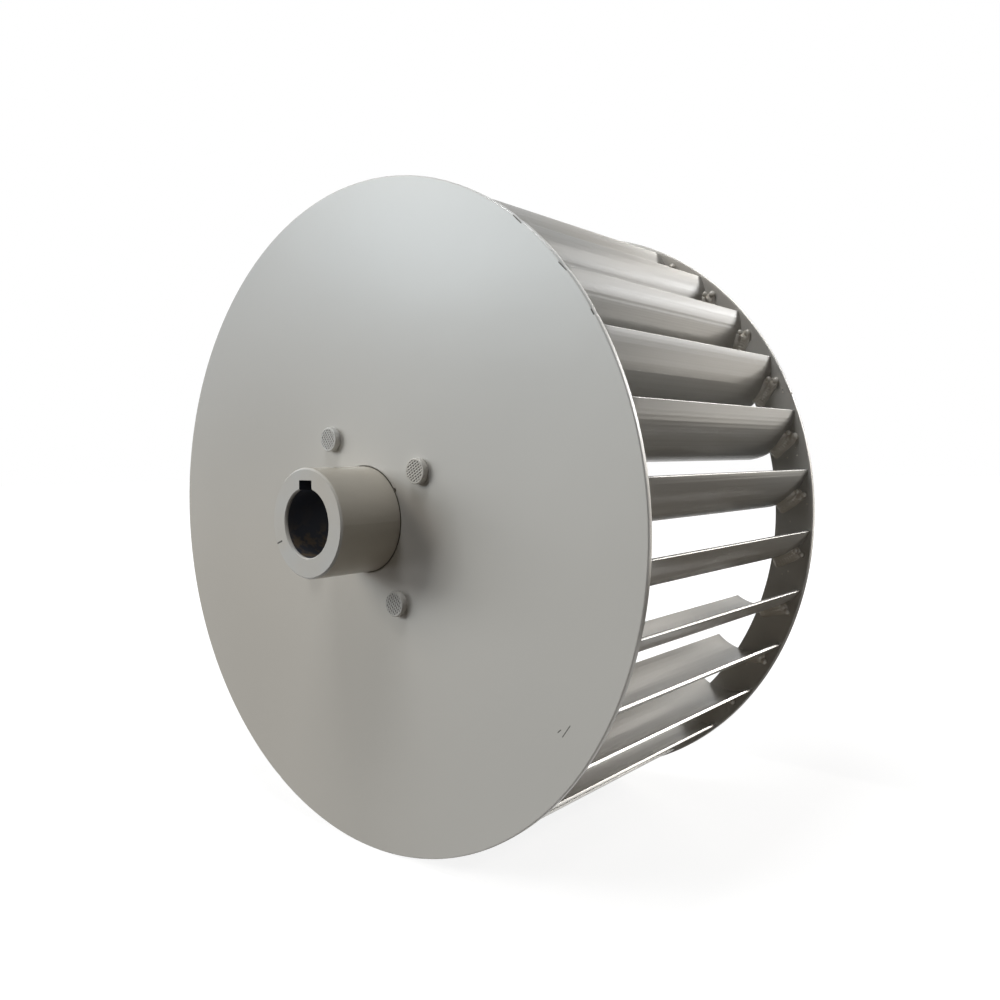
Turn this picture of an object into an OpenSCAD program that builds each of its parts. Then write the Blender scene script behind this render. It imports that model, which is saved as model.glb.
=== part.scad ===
// Centrifugal fan impeller with forward curved blades, in welded sheet steel.
// A flat backplate carries a riveted hub on one side. On the other side a cage
// of curved blades is welded to it, and an open inlet ring ties the blades' far ends.
// The shaft runs along Y and +Z is up. The origin is on the shaft's axis, in the
// plane of the backplate's front face. The hub stands out towards -Y, and the
// cage reaches towards +Y. Angles turn anticlockwise, seen from the hub's side.

/* [Backplate and inlet ring] */
// Outer diameter of the backplate and of the inlet ring
wheel_d = 285; // [220:1:360]
// Sheet thickness of the backplate
plate_t = 2.5; // [1.5:0.1:4]
// Sheet thickness of the inlet ring
ring_t = 2.5; // [1.5:0.1:4]
// Radial width of the inlet ring
ring_w = 18; // [14:0.5:26]

/* [Blades] */
// Number of blades
blade_count = 32; // [24:1:36]
// Length of the blades, from the backplate to the inlet ring
blade_len = 135.5; // [60:0.5:200]
// Sheet thickness of the blades
blade_t = 1.2; // [0.8:0.1:2]
// Distance of the blades' outer edges inside the rim
blade_inset = 1; // [0.5:0.1:4]
// Radial depth of the blades, from outer edge to inner edge
blade_depth = 28.5; // [22:0.5:34]
// Radius of the blades' rounded outer face
blade_curve_r = 24; // [22:0.5:40]
// Angle by which the inner edge trails the outer edge
blade_trail = 7; // [5:0.1:8.5]
// Turn of the whole cage on the backplate
cage_turn = 7.7; // [0:0.1:11.2]

/* [Welds] */
// Leg of the fillet weld between a blade and the sheet it stands on
weld_leg = 4.6; // [3:0.1:6]
// Radius of the weld's hollow face
weld_face_r = 7.4; // [5:0.1:12]
// Start of the weld, in degrees along the blade's curve from its outer edge
weld_start = 24; // [16:1:30]
// Length of the weld, in degrees along the blade's curve
weld_run = 32; // [15:1:34]
// Radius of the two drops at the weld's start
weld_drop_r = 1.2; // [0.8:0.1:1.4]
// Length of those drops, in degrees along the blade's curve
drop_run = 5; // [3:0.5:8]
// Gap under the drops, to the blade and to the sheet
drop_gap = 0.05; // [0.02:0.01:0.1]

/* [Hub] */
// Diameter of the hub's boss
hub_d = 45; // [42:0.5:60]
// Length of the boss in front of the backplate
hub_len = 30; // [20:0.5:50]
// Diameter of the shaft's bore
bore_d = 28; // [20:1:30]
// Width of the keyway
key_w = 8; // [5:0.5:10]
// Depth of the keyway, outside the bore
key_depth = 3.3; // [1.5:0.1:4]
// Diameter of the flange behind the backplate
flange_d = 100; // [95:1:120]
// Thickness of the flange
flange_t = 8; // [5:0.5:12]
// Diameter of the turned seat behind the flange, which the shaft's washer bears on
seat_d = 50; // [46:1:60]
// Height of that seat
seat_h = 1; // [0.5:0.5:3]
// Chamfer on the edges of the boss and the flange
hub_chamfer = 0.8; // [0.3:0.1:1.5]
// Chamfer on the mouths of the bore
bore_chamfer = 0.5; // [0.3:0.1:1]
// Radial gap between the boss and the backplate's centre hole
hub_gap = 0.2; // [0.1:0.05:0.5]
// Radius of the small notch where the cut of the centre hole began
notch_r = 0.9; // [0.5:0.1:1.5]
// Angle of that notch
notch_angle = 33; // [0:1:360]

/* [Rivets] */
// Number of rivets through the backplate and the flange
rivet_count = 4; // [3:1:6]
// Diameter of the circle that the rivets stand on
rivet_circle_d = 80; // [76:0.5:80]
// Angle of the first rivet
rivet_turn = 31; // [0:1:60]
// Diameter of a rivet's shank
rivet_d = 6; // [4:0.1:7]
// Radial gap round a rivet's shank
rivet_gap = 0.1; // [0.05:0.05:0.3]
// Diameter of the rivet's flat head in front
rivet_head_d = 10.6; // [9:0.1:12]
// Height of the flat head
rivet_head_h = 2.8; // [1.5:0.1:4]
// Chamfer round the flat head
rivet_chamfer = 0.5; // [0.2:0.1:0.8]
// Height of the round head behind the flange
rivet_dome_h = 3.2; // [2:0.1:4]

/* [Set screw] */
// Diameter of the set screw over the keyway
screw_d = 6; // [4:0.5:6]
// Radial gap round the set screw
screw_gap = 0.1; // [0.05:0.05:0.2]
// Distance of the set screw behind the hub's front face
screw_from_face = 14; // [6:0.5:16]
// Width across the flats of the screw's socket
socket_af = 3; // [2:0.1:3]
// Depth of that socket
socket_depth = 2.4; // [1:0.1:3]
// Depth of the screw's top below the boss
screw_sink = 0.3; // [0:0.1:1]

/* [Hidden] */
$fn = 96;
// A small overrun that keeps cuts clear of shared faces
over = 1;

// Radii and levels of the wheel. Levels rise towards the hub's side.
wheel_r = wheel_d / 2;
eye_r = wheel_r - ring_w;
tip_r = wheel_r - blade_inset;
root_r = tip_r - blade_depth;
plate_back = -plate_t;
cage_back = plate_back - blade_len;
flange_back = plate_back - flange_t;
hub_back = flange_back - seat_h;
key_top = bore_d / 2 + key_depth;
blade_step = 360 / blade_count;

// The blade's curve, for a blade whose outer edge is at angle 0
edge_out = [tip_r, 0];
edge_in = root_r * [cos(blade_trail), -sin(blade_trail)];
chord = edge_out - edge_in;
curve_rise = sqrt(pow(blade_curve_r, 2) - pow(norm(chord) / 2, 2));
curve_centre = (edge_out + edge_in) / 2 + curve_rise * [-chord.y, chord.x] / norm(chord);
angle_out = atan2(edge_out.y - curve_centre.y, edge_out.x - curve_centre.x);
angle_in = atan2(edge_in.y - curve_centre.y, edge_in.x - curve_centre.x);

function two_digits(i) = str(i < 10 ? "0" : "", i);
BLADES = [for (i = [1:blade_count]) str("blade_", two_digits(i))];
RIVETS = [for (i = [1:rivet_count]) str("rivet_", i)];

paint = [0.72, 0.71, 0.68];
weld_grey = [0.50, 0.47, 0.43];
bright_steel = [0.62, 0.62, 0.62];

// Turns the wheel's own frame, whose axis stands up, onto the lying shaft
module on_shaft() {
    rotate([90, 0, 0]) children();
}

// Puts a child at each rivet's place, or at one of them
module at_rivet(i) {
    rotate([0, 0, rivet_turn + i * 360 / rivet_count])
        translate([rivet_circle_d / 2, 0, 0])
            children();
}

// Puts a child, drawn round the blade curve's centre, at blade i
module at_blade(i) {
    rotate([0, 0, cage_turn + i * blade_step])
        translate([curve_centre.x, curve_centre.y, 0])
            children();
}

// Round sheet with its centre hole, the hole's notch and the rivet holes
module backplate() {
    color(paint) on_shaft() difference() {
        translate([0, 0, plate_back]) cylinder(h = plate_t, r = wheel_r, $fn = 180);
        translate([0, 0, plate_back - over])
            cylinder(h = plate_t + 2 * over, r = hub_d / 2 + hub_gap);
        rotate([0, 0, notch_angle])
            translate([hub_d / 2 + hub_gap, 0, plate_back - over])
                cylinder(h = plate_t + 2 * over, r = notch_r, $fn = 24);
        for (i = [0:rivet_count - 1])
            at_rivet(i) translate([0, 0, plate_back - over])
                cylinder(h = plate_t + 2 * over, r = rivet_d / 2 + rivet_gap, $fn = 32);
    }
}

// Flat ring at the inlet
module inlet_ring() {
    color(paint) on_shaft() translate([0, 0, cage_back - ring_t]) difference() {
        cylinder(h = ring_t, r = wheel_r, $fn = 180);
        translate([0, 0, -over]) cylinder(h = ring_t + 2 * over, r = eye_r, $fn = 180);
    }
}

// Sheet rolled to one radius, with its hollow face towards the axis
module blade(i) {
    color(paint) on_shaft() at_blade(i)
        translate([0, 0, cage_back]) rotate([0, 0, angle_in])
            rotate_extrude(angle = angle_out - angle_in)
                translate([blade_curve_r - blade_t, 0]) square([blade_t, blade_len]);
}

// Section of a fillet weld: two straight legs and a hollow face
module weld_section() {
    face_at = weld_leg / 2 + sqrt((pow(weld_face_r, 2) - pow(weld_leg, 2) / 2) / 2);
    difference() {
        square(weld_leg);
        translate([face_at, face_at]) circle(r = weld_face_r);
    }
}

// Carries a section round the blade's face, over a run that ends at an angle
module along_blade(run, end) {
    rotate([0, 0, end - run]) rotate_extrude(angle = run)
        translate([blade_curve_r, 0]) children();
}

// One weld on the blade's rounded face, standing on the level 0. It begins
// at mid blade with a drop near each toe and runs to near the inner edge.
module weld_bead() {
    start = angle_out - weld_start;
    low = weld_drop_r + drop_gap;
    high = weld_leg - weld_drop_r;
    along_blade(weld_run, start) weld_section();
    for (place = [[low, high], [high, low]])
        along_blade(drop_run, start) translate(place) circle(r = weld_drop_r, $fn = 32);
}

// Welds of all the blades to the inlet ring
module ring_welds() {
    color(weld_grey) on_shaft() for (i = [0:blade_count - 1])
        at_blade(i) translate([0, 0, cage_back]) weld_bead();
}

// Welds of all the blades to the backplate
module plate_welds() {
    color(weld_grey) on_shaft() for (i = [0:blade_count - 1])
        at_blade(i) translate([0, 0, plate_back]) mirror([0, 0, 1]) weld_bead();
}

// Half section of the hub without its bore: boss in front, flange and seat behind
module hub_section() {
    boss_r = hub_d / 2;
    flange_r = flange_d / 2;
    polygon([
        [0, hub_back], [seat_d / 2, hub_back], [seat_d / 2, flange_back],
        [flange_r - hub_chamfer, flange_back],
        [flange_r, flange_back + hub_chamfer], [flange_r, plate_back],
        [boss_r, plate_back], [boss_r, hub_len - hub_chamfer],
        [boss_r - hub_chamfer, hub_len], [0, hub_len]
    ]);
}

// Turned hub with bore, keyway, set screw hole and rivet holes
module hub() {
    bore_r = bore_d / 2;
    color(paint) on_shaft() difference() {
        rotate_extrude() hub_section();
        translate([0, 0, hub_back - over])
            cylinder(h = hub_len - hub_back + 2 * over, r = bore_r);
        translate([0, 0, hub_len - bore_chamfer])
            cylinder(h = bore_chamfer + over, r1 = bore_r, r2 = bore_r + bore_chamfer + over);
        translate([0, 0, hub_back - over])
            cylinder(h = bore_chamfer + over, r1 = bore_r + bore_chamfer + over, r2 = bore_r);
        translate([-key_w / 2, 0, hub_back - over])
            cube([key_w, key_top, hub_len - hub_back + 2 * over]);
        translate([0, 0, hub_len - screw_from_face]) rotate([-90, 0, 0])
            cylinder(h = hub_d, r = screw_d / 2 + screw_gap, $fn = 32);
        for (i = [0:rivet_count - 1])
            at_rivet(i) translate([0, 0, flange_back - over])
                cylinder(h = flange_t + 2 * over, r = rivet_d / 2 + rivet_gap, $fn = 32);
    }
}

// Half section of a rivet: round head behind, shank, flat head in front
module rivet_section() {
    head_r = rivet_head_d / 2;
    dome_r = (pow(head_r, 2) + pow(rivet_dome_h, 2)) / (2 * rivet_dome_h);
    intersection() {
        translate([0, flange_back - rivet_dome_h + dome_r]) circle(r = dome_r);
        translate([0, flange_back - rivet_dome_h]) square([head_r, rivet_dome_h]);
    }
    translate([0, flange_back - rivet_dome_h / 2])
        square([rivet_d / 2, (rivet_dome_h + rivet_head_h) / 2 - flange_back]);
    polygon([
        [0, 0], [head_r, 0], [head_r, rivet_head_h - rivet_chamfer],
        [head_r - rivet_chamfer, rivet_head_h], [0, rivet_head_h]
    ]);
}

// Rivet i, closed on both sides
module rivet(i) {
    color(paint) on_shaft() at_rivet(i) rotate_extrude() rivet_section();
}

// Set screw with a hexagon socket, standing on the keyway's roof
module set_screw() {
    top = hub_d / 2 - screw_sink;
    color(bright_steel) on_shaft()
        translate([0, 0, hub_len - screw_from_face]) rotate([-90, 0, 0]) difference() {
            translate([0, 0, key_top]) cylinder(h = top - key_top, r = screw_d / 2, $fn = 32);
            translate([0, 0, top - socket_depth])
                cylinder(h = socket_depth + over, d = socket_af / cos(30), $fn = 6);
        }
}

backplate();
inlet_ring();
for (i = [0:blade_count - 1])
    blade(i);
ring_welds();
plate_welds();
hub();
for (i = [0:rivet_count - 1])
    rivet(i);
set_screw();
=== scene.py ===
"""Centrifugal fan impeller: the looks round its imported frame.

Everything is in metres and in the part's own frame: the shaft runs along Y, +Z is up, the backplate's front
face is at Y = 0, the hub stands out towards -Y and the blade cage reaches towards +Y. Angles are taken in the
X-Z plane, from +X towards +Z, which is anticlockwise as seen from the hub's side.
"""
from math import atan2, cos, hypot, pi, radians, sin, sqrt

import bpy
import numpy as np
from bpy.props import FloatProperty, FloatVectorProperty, IntProperty, PointerProperty
from mathutils import Matrix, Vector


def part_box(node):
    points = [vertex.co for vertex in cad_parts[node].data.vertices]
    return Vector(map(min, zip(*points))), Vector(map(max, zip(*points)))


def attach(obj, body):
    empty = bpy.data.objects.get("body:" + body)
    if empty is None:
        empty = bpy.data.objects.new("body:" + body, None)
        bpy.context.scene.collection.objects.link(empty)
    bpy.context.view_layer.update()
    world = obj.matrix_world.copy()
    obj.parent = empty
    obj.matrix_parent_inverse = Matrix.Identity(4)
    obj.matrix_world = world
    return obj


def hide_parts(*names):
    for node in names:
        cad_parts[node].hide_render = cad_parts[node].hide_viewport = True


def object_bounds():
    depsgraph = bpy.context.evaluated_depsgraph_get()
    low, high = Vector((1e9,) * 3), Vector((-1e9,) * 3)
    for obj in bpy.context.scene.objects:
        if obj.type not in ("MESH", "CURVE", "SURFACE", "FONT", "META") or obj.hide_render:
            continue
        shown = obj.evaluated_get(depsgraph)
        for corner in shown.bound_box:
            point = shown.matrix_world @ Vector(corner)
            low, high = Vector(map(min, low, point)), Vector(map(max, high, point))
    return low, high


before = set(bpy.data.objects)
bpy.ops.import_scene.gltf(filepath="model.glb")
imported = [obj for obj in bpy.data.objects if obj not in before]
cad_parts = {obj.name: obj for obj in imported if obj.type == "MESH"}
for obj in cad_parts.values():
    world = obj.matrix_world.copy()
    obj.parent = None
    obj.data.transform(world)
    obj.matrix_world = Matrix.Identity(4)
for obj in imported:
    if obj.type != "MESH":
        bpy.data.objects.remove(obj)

bl_info = {
    "name": "Fan impeller dresser",
    "version": (1, 0, 0),
    "blender": (4, 5, 0),
    "location": "3D View > Sidebar > Impeller",
    "description": "Builds the painted sheet, blades, welds and rivets of a centrifugal fan impeller",
    "category": "Object",
}

MM = 0.001
CAD_BOX = [list(corner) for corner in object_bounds()]
PLATE_LOW, PLATE_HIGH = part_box("backplate")
RING_LOW, RING_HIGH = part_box("inlet_ring")
RIVET_LOW, RIVET_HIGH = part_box("rivet_1")
# the nearest side of the plate's faceted rim, so that the round one stays inside its box
WHEEL_RADIUS = min(PLATE_HIGH.x, -PLATE_LOW.x, PLATE_HIGH.z, -PLATE_LOW.z)

# Dents at the plate's rim: angle and width in degrees, depth in millimetres
RIM_DENTS = ((52.0, 0.9, 0.30), (40.5, 0.9, 0.28), (31.9, 0.5, 0.35), (-118.0, 0.8, 0.2))
# The two drops at a weld's start: millimetres out along the sheet and up the blade, share of the larger one
START_DROPS = ((3.8, 1.1, 1.0), (1.2, 3.5, 0.78))
# Bulges of the bead at its start: degrees round the corner, height as a share of the larger drop
START_BULGES = ((17, 0.6), (72, 0.5))
# Radians from blade to blade that give each its own waves
GOLDEN_STEP = 2.399

# Where the hub's steel is bare and coloured near black as painted shade: within the bore's radius, half the
# keyway's width and the level of its roof
BORE_LIMIT, KEY_LIMIT, ROOF_LIMIT = 14.15 * MM, 4.05 * MM, 17.35 * MM
# The turned wall is beyond this radius, and the chamfer, coloured lighter as wear and as a painted highlight,
# where radius minus Y passes this length
BOSS_LIMIT, CHAMFER_LIMIT = 22.2 * MM, 51.65 * MM
# The lathe's feed, height of the coat's finest relief, and its waves a metre
LATHE_PITCH, FINEST, GRAIN = 0.45 * MM, 0.004 * MM, 900.0
# The coat's specular level and index of refraction
COAT_GLOSS, COAT_IOR = 0.40, 1.45

# Dark marks in the coat, in millimetres: start, end and width
PLATE_MARKS = (
    ((85.6, 0, 113.6), (89.2, 0, 110.2), 0.38),
    ((106.2, 0, 93.8), (109.5, 0, 90.6), 0.36),
    ((120.0, 0, 75.9), (121.0, 0, 74.2), 0.45),
    ((106.0, 0, -73.8), (109.4, 0, -69.2), 0.30),
    ((103.9, 0, -72.6), (105.2, 0, -71.4), 0.30),
)
HUB_MARKS = (
    ((-20.6, -30, -9.4), (-16.6, -30, -7.9), 0.55),
    ((-21.6, -29.6, -5.0), (-20.9, -29.6, -8.8), 0.45),
)

# Lamps: name, degrees from the plate's front towards +X, degrees up, distance, size, colour, and False where
# the coat takes only a lamp's soft light and doesn't mirror it
LAMPS = (
    ("key", -43, 29, 6.0, (3.0, 1.7), (1.0, 0.945, 0.86)),
    ("window", -41, 16, 6.0, (2.2, 1.1), (0.85, 0.95, 1.0)),
    ("slant", -61, 11, 6.0, (3.0, 1.5), (0.96, 0.98, 1.0), False),
    ("side", 152, 20, 2.0, (0.72, 0.85), (1.0, 0.985, 0.955)),
    ("bar", 152, 20, 1.9, (0.72, 0.13), (0.97, 0.985, 1.0)),
    ("low_side", 143, -1, 0.6, (0.15, 0.25), (1.0, 0.94, 0.84)),
    ("strip", -176, 31, 2.0, (1.3, 0.2), (1.0, 0.96, 0.89)),
    ("near", 12, 71, 0.72, (0.26, 0.20), (0.96, 0.98, 1.0)),
)
# The point that the lamps face
CAGE_MIDDLE = (0.0, 0.05, 0.0)
WHITE = (1, 1, 1, 1)
# The dark card's sides: lowest and highest X, lowest and highest Y
DARK_CARD = (-0.10, 0.45, 0.205, 0.85)


# Properties

def length(name, about, default):
    """A length in metres that the sidebar shows with its unit."""
    return FloatProperty(name=name, description=about, default=default, min=0, subtype="DISTANCE",
                         unit="LENGTH", precision=5)


def turn(name, about, default):
    """An angle in radians, given here in degrees."""
    return FloatProperty(name=name, description=about, default=radians(default), subtype="ANGLE",
                         unit="ROTATION")


def tone(name, about, default):
    """A linear colour."""
    return FloatVectorProperty(name=name, description=about, default=default, min=0, max=1, size=3,
                               subtype="COLOR")


def share(name, about, default, high=1.0):
    """A plain number from 0 up."""
    return FloatProperty(name=name, description=about, default=default, min=0, max=high)


class ImpellerSheets(bpy.types.PropertyGroup):
    """Sizes of the backplate, the inlet ring and the blades"""
    wheel_radius: length("Wheel radius", "Outer radius of backplate and ring", WHEEL_RADIUS)
    plate_back: length("Plate thickness", "Level of the backplate's rear face", PLATE_HIGH.y)
    ring_front: length("Ring level", "Level of the inlet ring's face on the cage's side", RING_LOW.y)
    ring_back: length("Ring rear level", "Level of the inlet ring's open face", RING_HIGH.y)
    ring_width: length("Ring width", "Radial width of the inlet ring", 18 * MM)
    hole_radius: length("Centre hole", "Radius of the backplate's hole for the hub", 22.7 * MM)
    notch_radius: length("Notch", "Radius of the small notch in that hole", 0.9 * MM)
    notch_angle: turn("Notch angle", "Where that notch lies", 33)
    sheet_edge: length("Sheet edge", "Rounding of the coated edges of plate and ring", 0.5 * MM)
    plate_wave: length("Plate wave", "Height of the plate's slight waves", 0.10 * MM)
    blade_count: IntProperty(name="Blades", description="Number of blades", default=32, min=3)
    blade_sheet: length("Blade thickness", "Sheet thickness of the blades", 1.2 * MM)
    blade_inset: length("Blade inset", "Distance of the blades inside the rim", 1 * MM)
    blade_depth: length("Blade depth", "Radial depth of a blade", 28.5 * MM)
    blade_curve: length("Blade radius", "Radius of a blade's rounded face", 24 * MM)
    blade_trail: turn("Blade trail", "How far the inner edge trails the outer edge", 7)
    blade_edge: length("Blade edge", "Rounding of a blade's coated edges", 0.22 * MM)
    blade_wave: length("Blade wave", "Height of a blade's slight waves", 0.03 * MM)
    cage_turn: turn("Cage turn", "Turn of the cage on the plate", 7.7)


class ImpellerJoints(bpy.types.PropertyGroup):
    """Sizes of the welds and the rivets"""
    weld_leg: length("Weld leg", "Leg of the fillet welds", 4.6 * MM)
    weld_start: turn("Weld start", "Start of a weld along the blade, from its outer edge", 24)
    weld_run: turn("Weld run", "Length of a weld along the blade", 32)
    weld_toe: length("Weld toe", "Height of the ridges along both toes", 0.55 * MM)
    weld_ripple: length("Weld ripple", "Height of the ripples", 0.11 * MM)
    weld_pitch: length("Ripple pitch", "Distance from ripple to ripple", 1.1 * MM)
    weld_drop: length("Weld drops", "Radius of the larger of the two drops at the start", 1.6 * MM)
    flange_back: length("Flange level", "Level of the rear face of the hub's flange", 10.5 * MM)
    rivet_count: IntProperty(name="Rivets", description="Number of rivets", default=4, min=1)
    rivet_circle: length("Rivet circle", "Radius of the circle that the rivets stand on", 40 * MM)
    rivet_turn: turn("Rivet turn", "Angle of the first rivet", 31)
    rivet_head: length("Rivet head", "Radius of a rivet's flat head", 5.3 * MM)
    rivet_shank: length("Rivet shank", "Radius of a rivet's shank", 3 * MM)
    hatch_pitch: length("Hatch pitch", "Distance from row to row of the hatching", 1.08 * MM)
    hatch_depth: length("Hatch depth", "Depth of the hatching", 0.28 * MM)


class ImpellerFinish(bpy.types.PropertyGroup):
    """Colours and gloss of the finishes"""
    coat_cool: tone("Cool coat", "Coat where it looks cool", (0.520, 0.522, 0.512))
    coat_warm: tone("Warm coat", "Coat where it looks warm", (0.524, 0.492, 0.443))
    # the boss wall's darker, warmer tone is painted shade
    boss_wall_shade_tone: tone("Turned coat", "Coat over the boss's turned wall", (0.465, 0.430, 0.368))
    # the chamfer's light tone is a painted highlight, with some wear
    chamfer_highlight_tone: tone("Chamfer", "Worn chamfer of the boss", (0.640, 0.625, 0.590))
    # the welds' tone is lighter than the sheets' coat: a painted highlight on their curves
    weld_coat_and_highlight_tone: tone("Weld coat", "Coat over the welds", (0.700, 0.655, 0.580))
    # this also darkens the rivets' pits as painted shade
    dark_tone: tone("Scrape", "Scrapes, pits and the joint's dirt", (0.060, 0.055, 0.050))
    # the light edge tone is bare metal and, partly, a painted highlight
    edge_highlight_tone: tone("Cut edges", "Worn, bright edges of the sheets", (0.740, 0.735, 0.715))
    # the bore's near-black tone is painted shade over bare steel
    bore_shade_tone: tone("Bore", "Bare steel of the bore and keyway", (0.012, 0.014, 0.021))
    # the warm tone low in the bore is a painted reflection
    bore_reflection_tone: tone("Stains", "Oily stains in the bore", (0.060, 0.043, 0.027))
    screw_dark: tone("Screw, dark", "Blackened steel of the set screw", (0.045, 0.044, 0.043))
    screw_light: tone("Screw, light", "Its lighter grain", (0.11, 0.10, 0.095))
    coat_rough: share("Coat roughness", "Mean roughness of the coat", 0.27)
    bore_rough: share("Bore roughness", "Roughness of the bare bore", 0.95)
    # both shares also set how much painted highlight the edges and rims get
    edge_bare_and_highlight: share("Bare edges", "Share of bare metal on the blades' cut edges", 0.75)
    rim_bare_and_highlight: share("Bare rims", "Share of bare metal on the rims of plate and ring", 0.15)


class ImpellerStudio(bpy.types.PropertyGroup):
    """Lamps, floor and surroundings"""
    key_power: share("Front lamp", "Power of the warm lamp in front on the left, in watts", 104.0, 1000)
    window_power: share("Window lamp", "Power of the cool lamp under the front lamp, in watts", 84.0, 1000)
    slant_power: share("Slant lamp", "Power of the soft lamp far on the left, in watts", 130.0, 1000)
    side_power: share("Side lamp", "Power of the tall lamp behind on the right, in watts", 11.0, 1000)
    bar_power: share("Bar lamp", "Power of the narrow lamp before the side lamp, in watts", 2.2, 1000)
    low_side_power: share("Low side lamp", "Power of the small lamp close to the floor, in watts", 0.38, 1000)
    strip_power: share("Strip lamp", "Power of the long low lamp behind, in watts", 5.0, 1000)
    near_power: share("Near lamp", "Power of the small lamp over the plate, in watts", 2.3, 1000)
    sky_tone: tone("Sky", "Light from above", (0.024, 0.026, 0.028))
    wall_tone: tone("Walls", "Light from the sides", (0.014, 0.014, 0.014))
    ground_tone: tone("Ground", "Light from below", (0.010, 0.009, 0.008))
    floor_tone: tone("Floor", "Colour of the floor", (0.14, 0.12, 0.10))
    pale_tone: tone("Pale floor", "Colour of the floor where a camera or mirror sees it", (0.34, 0.34, 0.34))
    card_tone: tone("Dark card", "Colour of the card behind the wheel", (0.02, 0.02, 0.02))
    floor_half: length("Floor size", "Half the floor's side", 6.0)


# Meshes

def outward(points, faces):
    """Turns the faces round if the closed surface's volume, the sum of the faces' cones to the origin, is
    negative."""
    total = 0.0
    for block in faces:
        a = points[block[:, 0]]
        for k in range(1, block.shape[1] - 1):
            total += np.einsum("ij,ij->i", a, np.cross(points[block[:, k]], points[block[:, k + 1]])).sum()
    return faces if total > 0 else [block[:, ::-1] for block in faces]


def new_piece(name, points, faces, material, node, marks=None):
    """Makes a piece from an (n, 3) array of points and from arrays of faces, each with one count of corners.
    marks are arrays of one number per point, kept as attributes for the material."""
    faces = outward(points, faces)
    mesh = bpy.data.meshes.new(name)
    mesh.vertices.add(len(points))
    mesh.vertices.foreach_set("co", points.astype(np.float32).ravel())
    corners = np.concatenate([block.ravel() for block in faces]).astype(np.int32)
    counts = np.concatenate([np.full(len(block), block.shape[1]) for block in faces])
    starts = np.concatenate([[0], np.cumsum(counts)[:-1]]).astype(np.int32)
    mesh.loops.add(len(corners))
    mesh.loops.foreach_set("vertex_index", corners)
    mesh.polygons.add(len(starts))
    mesh.polygons.foreach_set("loop_start", starts)
    mesh.polygons.foreach_set("use_smooth", np.ones(len(starts), bool))
    mesh.update(calc_edges=True)
    if mesh.validate():
        raise RuntimeError(f"{name}: the mesh had faces that had to be mended")
    for key, values in (marks or {}).items():
        numbers = values.astype(np.float32).ravel()
        mesh.attributes.new(key, "FLOAT", "POINT").data.foreach_set("value", numbers)
    mesh.materials.append(material)
    piece = bpy.data.objects.new(name, mesh)
    bpy.context.scene.collection.objects.link(piece)
    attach(piece, "root")
    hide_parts(node)


def grid_faces(rows, columns, close_rows=False, close_columns=False, start=0):
    """Quads of a grid whose point (i, j) has the number start + i * columns + j."""
    i = np.arange(rows if close_rows else rows - 1)[:, None]
    j = np.arange(columns if close_columns else columns - 1)[None, :]
    i2, j2 = (i + 1) % rows, (j + 1) % columns
    quads = np.stack([i * columns + j, i2 * columns + j, i2 * columns + j2, i * columns + j2], axis=-1)
    return quads.reshape(-1, 4) + start


def fan_faces(ring, pole):
    """Triangles from a closed ring of points to one pole."""
    return np.stack([ring, np.roll(ring, -1), np.full(len(ring), pole)], axis=-1)


def copies_of(faces, count, points_each):
    """The same faces for count copies of a surface, one after another."""
    shift = (np.arange(count) * points_each)[:, None, None]
    return (faces[None] + shift).reshape(-1, faces.shape[1])


def bell(x, width):
    """exp(-(x / width) squared): a soft bump of height 1."""
    return np.exp(-(x / width) ** 2)


def eased(count):
    """count numbers from 0 to 1, closer together near both ends: (1 - cos(pi k)) / 2."""
    return (1 - np.cos(pi * np.linspace(0, 1, count))) / 2


def wheel_point(radius, angle, depth):
    """Points at radius * (cos, sin) in the X-Z plane and at depth along Y."""
    radius, angle, depth = np.broadcast_arrays(radius, angle, depth)
    return np.stack([radius * np.cos(angle), depth, radius * np.sin(angle)], axis=-1)


def ring_section(inner, outer, front, back, edge, across, corner=6, wall=4):
    """Closed section of a flat ring as (radius, depth): two faces and two rims, joined by quarter circles of
    the edge's radius, walked round once from the front face's inner end."""
    quarter = np.linspace(0, pi / 2, corner + 1)[1:-1]
    sine, cosine = edge * np.sin(quarter), edge * np.cos(quarter)
    walk = inner + edge + (outer - inner - 2 * edge) * eased(across)
    rim = front + edge + (back - front - 2 * edge) * np.linspace(0, 1, wall)
    radius = [walk, outer - edge + sine, np.full(wall, outer), outer - edge + cosine,
              walk[::-1], inner + edge - sine, np.full(wall, inner), inner + edge - cosine]
    depth = [np.full(across, front), front + edge - cosine, rim, back - edge + sine,
             np.full(across, back), back - edge + cosine, rim[::-1], front + edge - sine]
    return np.concatenate(radius), np.concatenate(depth)


def turned_off(angle, at):
    """The turn from an angle to others, between minus and plus half a turn."""
    return np.mod(angle - at + pi, 2 * pi) - pi


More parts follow.
